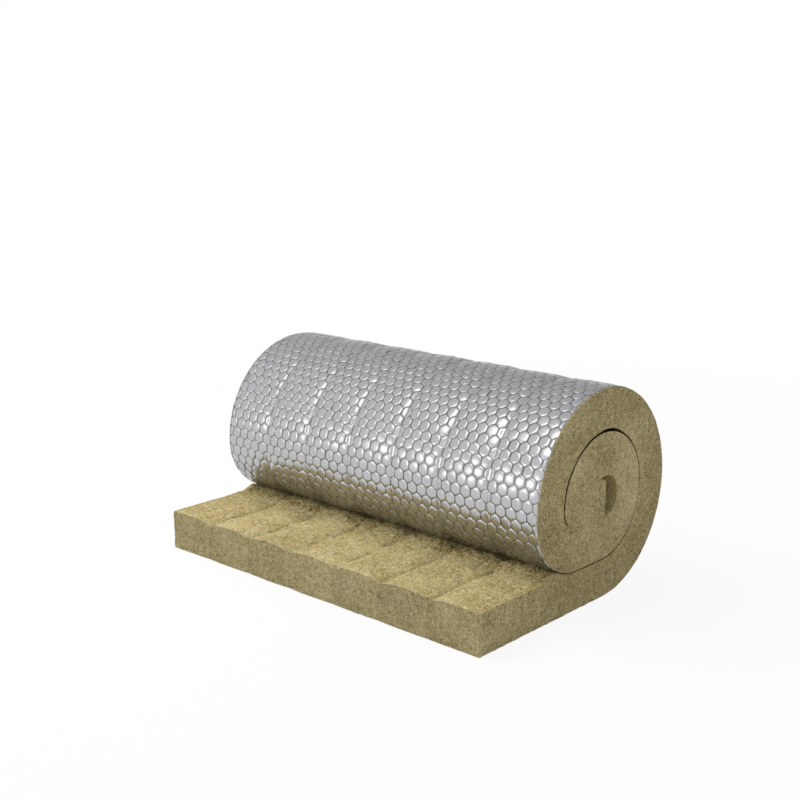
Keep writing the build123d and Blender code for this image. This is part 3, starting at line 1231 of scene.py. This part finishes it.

# %% [markdown]
# Colour ramps turn the tone into colours, from dark hollows to pale fibres. A noise mixes a yellower and
# a greyer ramp into stains, and the cut faces lean to the greyer one. The teased band at the roll has a
# darker, speckled ramp: its speckle is teased fuzz, its darkness painted shade under the roll. The walls
# of the slit between the turns have a dark ramp of painted shade.

# %% Wool
WOOL_SHADE = (0.060, 0.046, 0.020)
WOOL_DARK = (0.115, 0.088, 0.036)
WOOL_BROWN = (0.290, 0.232, 0.104)
WOOL_STRAW = (0.470, 0.395, 0.198)
WOOL_PALE = (0.700, 0.630, 0.400)
WOOL_STOPS = ((0.41, WOOL_DARK), (0.465, WOOL_BROWN), (0.525, WOOL_STRAW), (0.60, WOOL_PALE))
TEASED_SHADE_STOPS = ((0.455, WOOL_SHADE), (0.49, WOOL_BROWN), (0.53, WOOL_STRAW), (0.59, WOOL_PALE))
SLIT_SHADE_STOPS = ((0.44, WOOL_SHADE), (0.56, WOOL_BROWN))
YELLOW_WARMTH = 0.24
GREY_WARMTH = -0.17
TEASED_WARMTH = 0.12
RED_LOSS = 0.2
GREEN_LOSS = 0.25
STAIN_CONTRAST = 3.0
STAIN_START = -1.17
CUT_HUE = 1.1
CUT_CALM = 0.65


def tinted(stops, warmth):
    """The stops of a ramp made yellower or, with a negative warmth, greyer."""
    red_share = 1 + RED_LOSS * min(warmth, 0.0)
    green_share = 1 - GREEN_LOSS * max(warmth, 0.0)
    blue_share = 1 - warmth
    tints = []
    for place, (red, green, blue) in stops:
        tints.append((place, (red * red_share, green * green_share, blue * blue_share)))
    return tints


def wool_colour(tree, place, tone, cut):
    """The colour of the wool, by its tone and by where it is."""
    stain = add_node(tree, "ShaderNodeTexNoise", Scale=42.0, Detail=5.0, Roughness=0.75)
    tree.links.new(place, stain.inputs["Vector"])
    hue = add_math(tree, "MULTIPLY", stain.outputs["Fac"], STAIN_CONTRAST)
    hue = add_math(tree, "ADD", hue, STAIN_START)
    apart = add_math(tree, "MULTIPLY", add_math(tree, "SUBTRACT", CUT_HUE, hue), CUT_CALM)
    on_cut = add_math(tree, "MAXIMUM", cut, 0.0)
    hue = add_math(tree, "ADD", hue, add_math(tree, "MULTIPLY", apart, on_cut))
    yellow = add_ramp(tree, tone, tinted(WOOL_STOPS, YELLOW_WARMTH))
    grey = add_ramp(tree, tone, tinted(WOOL_STOPS, GREY_WARMTH))
    teased = add_ramp(tree, tone, tinted(TEASED_SHADE_STOPS, TEASED_WARMTH))
    colour = mix_colours(tree, hue, yellow, grey)
    # Painted shade under the roll, with the speckle of teased fuzz.
    colour = mix_colours(tree, read_layer(tree, TEASE_AND_SHADE_LAYER), colour, teased)
    # Painted shade on the walls of the slit and of the crease between the turns.
    return mix_colours(tree, read_layer(tree, SLIT_LAYER), colour, add_ramp(tree, tone, SLIT_SHADE_STOPS))


def wool_material():
    """Matte wool with its grain as bump."""
    material, tree, shader = new_material("stone wool")
    place = tree.nodes.new("ShaderNodeTexCoord").outputs["Object"]
    cut = read_layer(tree, CUT_LAYER)
    grain = wool_grain(tree, place)
    colour = wool_colour(tree, place, wool_tone(tree, grain, cut), cut)
    tree.links.new(colour, shader.inputs["Base Color"])
    shader.inputs["Roughness"].default_value = 0.95
    shader.inputs["Specular IOR Level"].default_value = 0.12
    bump = add_node(tree, "ShaderNodeBump", Strength=0.7, Distance=0.005)
    tree.links.new(grain, bump.inputs["Height"])
    tree.links.new(bump.outputs["Normal"], shader.inputs["Normal"])
    return material


wool_body.data.materials.append(wool_material())
print("wool material set")

# %% [markdown]
# Every loose fibre carries a random shade, and a ramp gives it one colour. The lying fibres show all the
# colours of the wool. Those on the cut faces are paler and greyer, and the teased ones at the roll run
# from deep shade to pale.

# %% Loose fibres
LYING_STOPS = ((0.0, WOOL_SHADE), (0.3, WOOL_DARK), (0.5, WOOL_BROWN), (0.75, WOOL_STRAW), (1.0, WOOL_PALE))
SIDE_STOPS = ((0.0, WOOL_BROWN), (0.5, WOOL_STRAW), (1.0, WOOL_PALE))
STANDING_STOPS = ((0.0, WOOL_SHADE), (0.3, WOOL_BROWN), (0.6, WOOL_STRAW), (1.0, WOOL_PALE))


def fibre_material(name, stops):
    """Matte fibres, each in one colour by its random shade."""
    material, tree, shader = new_material(name)
    colour = add_ramp(tree, read_layer(tree, SHADE_LAYER), stops)
    tree.links.new(colour, shader.inputs["Base Color"])
    shader.inputs["Roughness"].default_value = 0.9
    shader.inputs["Specular IOR Level"].default_value = 0.05
    return material


lying.data.materials.append(fibre_material("loose fibres", LYING_STOPS))
sides.data.materials.append(fibre_material("cut fibres", tinted(SIDE_STOPS, GREY_WARMTH)))
standing.data.materials.append(fibre_material("teased fibres", tinted(STANDING_STOPS, TEASED_WARMTH)))
print("fibre materials set")

# %% [markdown]
# The foil is bright rolled aluminium, smooth but full of faint creases, with fine rolling marks. Painted
# shade darkens it low in its cells, under the wires, at the stitch rows and at its edges, and more low on
# the roll, where it mirrors the wool in the roll's shadow. The netting and the stitches are dull grey
# galvanised wire.

# %% Foil and wires
FOIL_BRIGHT = (0.497, 0.502, 0.510)
FOIL_GROOVE_SHADE = (0.265, 0.265, 0.262)
# Painted shade low on the roll, where the foil mirrors the shaded wool.
FOIL_LOW_SHADE = (0.400, 0.405, 0.420)
GROOVE_LOW_SHADE = (0.215, 0.215, 0.210)
WIRE_GREY = (0.215, 0.214, 0.209)
WIRE_DARK = tuple(value * 0.7 for value in WIRE_GREY)
UNSHADED_CROWN = 0.45
MARK_STRETCH = (1, 16, 16)
MARK_SCALE = 420.0
FOIL_ROUGHNESS = 0.18
MARK_ROUGHNESS = 0.14
CREASE_HEIGHT = 0.8
MARK_HEIGHT = 0.2
SPANGLE_SCALE = 260.0


def foil_material():
    """Bright metal with faint creases and rolling marks, darkened by painted shade in its grooves and low
    on the roll.
    """
    material, tree, shader = new_material("aluminium foil")
    crown = read_layer(tree, CROWN_LAYER)
    # Painted shade: the foil is darker low in its cells, under the wires, at the stitch rows and at its
    # edges.
    unshaded = add_ramp(tree, crown, ((0.0, FOIL_GROOVE_SHADE), (UNSHADED_CROWN, FOIL_BRIGHT)))
    low_shaded = add_ramp(tree, crown, ((0.0, GROOVE_LOW_SHADE), (UNSHADED_CROWN, FOIL_LOW_SHADE)))
    # Painted shade low on the roll, where the foil mirrors the shaded wool.
    colour = mix_colours(tree, read_layer(tree, LOW_SHADE_LAYER), unshaded, low_shaded)
    tree.links.new(colour, shader.inputs["Base Color"])
    shader.inputs["Metallic"].default_value = 1.0
    marks = add_streaks(tree, (0, 0, 0), MARK_STRETCH, MARK_SCALE)
    place = tree.nodes.new("ShaderNodeTexCoord").outputs["Object"]
    creases = add_node(tree, "ShaderNodeTexNoise", Scale=120.0, Detail=3.0, Roughness=0.55, Distortion=0.6)
    tree.links.new(place, creases.inputs["Vector"])
    rough = add_math(tree, "ADD", add_math(tree, "MULTIPLY", marks, MARK_ROUGHNESS), FOIL_ROUGHNESS)
    tree.links.new(rough, shader.inputs["Roughness"])
    height = add_math(tree, "MULTIPLY", creases.outputs["Fac"], CREASE_HEIGHT)
    height = add_math(tree, "ADD", height, add_math(tree, "MULTIPLY", marks, MARK_HEIGHT))
    bump = add_node(tree, "ShaderNodeBump", Strength=0.10, Distance=0.0016)
    tree.links.new(height, bump.inputs["Height"])
    tree.links.new(bump.outputs["Normal"], shader.inputs["Normal"])
    return material


def wire_material():
    """Dull grey zinc, mottled by a plain noise."""
    material, tree, shader = new_material("galvanised wire")
    spangle = add_streaks(tree, (0, 0, 0), (1, 1, 1), SPANGLE_SCALE)
    colour = add_ramp(tree, spangle, ((0.35, WIRE_DARK), (0.65, WIRE_GREY)))
    tree.links.new(colour, shader.inputs["Base Color"])
    shader.inputs["Metallic"].default_value = 0.35
    shader.inputs["Roughness"].default_value = 0.55
    return material


galvanised = wire_material()
foil_sheet.data.materials.append(foil_material())
for piece in (wire_netting, stitching):
    piece.data.materials.append(galvanised)
print("foil and wire materials set")

# %% [markdown]
# Stage, light and camera
#
# The floor is white. It glows to the camera and in mirrors, more so further off, and keeps the object's
# shadow near it. A brighter lamp would whiten the floor too, but it would bleach the wool.

# %% Floor
FLOOR_SIZE = 60.0
FLOOR_WHITE = (0.78, 0.78, 0.78, 1)
FLOOR_GLOW = 0.90
FLOOR_NEAR = 1.2
FLOOR_FAR = 3.2


def seen_directly(tree):
    """1 for rays from the camera and for mirrored or transmitted rays, else 0."""
    path = tree.nodes.new("ShaderNodeLightPath")
    seen = add_math(tree, "MAXIMUM", path.outputs["Is Camera Ray"], path.outputs["Is Glossy Ray"])
    return add_math(tree, "MAXIMUM", seen, path.outputs["Is Transmission Ray"])


def make_floor():
    """A white floor that takes the shadow and glows to white further off."""
    build = bmesh.new()
    bmesh.ops.create_grid(build, x_segments=2, y_segments=2, size=FLOOR_SIZE)
    mesh = bpy.data.meshes.new("floor")
    build.to_mesh(mesh)
    build.free()
    floor = bpy.data.objects.new("floor", mesh)
    bpy.context.scene.collection.objects.link(floor)
    material, tree, shader = new_material("white floor")
    shader.inputs["Base Color"].default_value = FLOOR_WHITE
    shader.inputs["Roughness"].default_value = 0.9
    glow = add_node(tree, "ShaderNodeEmission", Strength=1.0)
    blend = tree.nodes.new("ShaderNodeMixShader")
    place = tree.nodes.new("ShaderNodeTexCoord").outputs["Object"]
    reach = add_node(tree, "ShaderNodeVectorMath", operation="LENGTH")
    tree.links.new(place, reach.inputs[0])
    far = add_node(tree, "ShaderNodeMapRange", interpolation_type="SMOOTHSTEP")
    far.inputs["From Min"].default_value = FLOOR_NEAR
    far.inputs["From Max"].default_value = FLOOR_FAR
    far.inputs["To Min"].default_value = FLOOR_GLOW
    tree.links.new(reach.outputs["Value"], far.inputs["Value"])
    share = add_math(tree, "MULTIPLY", seen_directly(tree), far.outputs["Result"])
    tree.links.new(share, blend.inputs["Fac"])
    tree.links.new(shader.outputs["BSDF"], blend.inputs[1])
    tree.links.new(glow.outputs["Emission"], blend.inputs[2])
    tree.links.new(blend.outputs["Shader"], tree.nodes["Material Output"].inputs["Surface"])
    mesh.materials.append(material)


make_floor()
print("floor glows fully from", FLOOR_FAR, "m on")

# %% [markdown]
# The sky overhead is a soft grey that is lighter in front and on the left, so the top of the foil has
# something darker to mirror. The horizon is white like the floor.

# %% Sky
SKY_AXIS = Vector((-0.45, -0.75, 0.4))
SKY_DIM = 0.24
SKY_BRIGHT = 0.94
HORIZON_TOP = 0.10
HORIZON_FADE = 0.18


def make_sky():
    """A grey sky, lighter towards its axis, over a white horizon."""
    world = bpy.data.worlds.new("studio sky")
    world.use_nodes = True
    tree = world.node_tree
    background = tree.nodes["Background"]
    direction = tree.nodes.new("ShaderNodeTexCoord").outputs["Generated"]
    split = tree.nodes.new("ShaderNodeSeparateXYZ")
    tree.links.new(direction, split.inputs["Vector"])
    towards = add_node(tree, "ShaderNodeVectorMath", operation="DOT_PRODUCT")
    towards.inputs[1].default_value = SKY_AXIS.normalized()
    tree.links.new(direction, towards.inputs[0])
    sky = tree.nodes.new("ShaderNodeMapRange")
    horizon = add_node(tree, "ShaderNodeMapRange", interpolation_type="SMOOTHSTEP")
    sky_range = (-1, 1, SKY_DIM, SKY_BRIGHT)
    horizon_range = (HORIZON_TOP, HORIZON_FADE, 1, 0)
    for node, values in ((sky, sky_range), (horizon, horizon_range)):
        for name, value in zip(("From Min", "From Max", "To Min", "To Max"), values):
            node.inputs[name].default_value = value
    tree.links.new(towards.outputs["Value"], sky.inputs["Value"])
    tree.links.new(split.outputs["Z"], horizon.inputs["Value"])
    blend = add_node(tree, "ShaderNodeMix", data_type="FLOAT", B=1.0)
    tree.links.new(horizon.outputs["Result"], blend.inputs["Factor"])
    tree.links.new(sky.outputs["Result"], blend.inputs["A"])
    tree.links.new(blend.outputs["Result"], background.inputs["Strength"])
    background.inputs["Color"].default_value = (1, 1, 1, 1)
    bpy.context.scene.world = world


make_sky()
print("sky from", SKY_DIM, "to", SKY_BRIGHT)

# %% [markdown]
# A broad lamp high up, a little to the left and in front, gives the object form and shades the wool under
# the roll. A soft box and a lower band of light in front are there only for the foil to mirror.


# %% Lamps
def make_lamp(name, place, target, size, watts, mirrored):
    """A rectangular lamp aimed at a target. A mirrored one shows only in metal and lights nothing else."""
    light = bpy.data.lights.new(name, "AREA")
    light.shape = "RECTANGLE"
    light.size = size[0]
    light.size_y = size[1]
    light.energy = watts
    lamp = bpy.data.objects.new(name, light)
    lamp.location = place
    lamp.rotation_euler = (Vector(target) - Vector(place)).to_track_quat("-Z", "Y").to_euler()
    lamp.visible_glossy = mirrored
    lamp.visible_diffuse = not mirrored
    bpy.context.scene.collection.objects.link(lamp)


make_lamp("key", (-1.6, -0.95, 3.1), (0, 0, 0.2), (2.6, 2.6), 90.0, False)
make_lamp("front box", (-0.36, -1.5, 2.75), (0, 0, 0.25), (1.4, 1.8), 14.0, True)
make_lamp("band", (-2.05, -3.95, 1.25), (0.3, 0, 0.3), (1.4, 0.8), 10.5, True)
bpy.context.scene.view_settings.view_transform = "Standard"
print("three lamps set")

# %% [markdown]
# The camera looks down a little, from in front of the tongue and to its right, so that the foil, the
# open wool and the turns on the roll's end all show. Its place and lens come from fitting the corners
# and seams of a real mat.

# %% Camera
CAMERA_PLACE = Vector((2.03635, -2.29052, 1.13807))
CAMERA_AZIMUTH = math.radians(42.15)
CAMERA_ELEVATION = math.radians(13.40)
CAMERA_LENS = 58.105
SENSOR = 36.0

camera_data = bpy.data.cameras.new("camera")
camera_data.lens = CAMERA_LENS
camera_data.sensor_width = SENSOR
camera = bpy.data.objects.new("camera", camera_data)
level = math.cos(CAMERA_ELEVATION)
sideways = math.sin(CAMERA_AZIMUTH) * level
forwards = -math.cos(CAMERA_AZIMUTH) * level
back = Vector((sideways, forwards, math.sin(CAMERA_ELEVATION)))
camera.location = CAMERA_PLACE
camera.rotation_euler = (-back).to_track_quat("-Z", "Y").to_euler()
bpy.context.scene.collection.objects.link(camera)
bpy.context.scene.camera = camera
print("camera at", [round(value, 3) for value in CAMERA_PLACE])
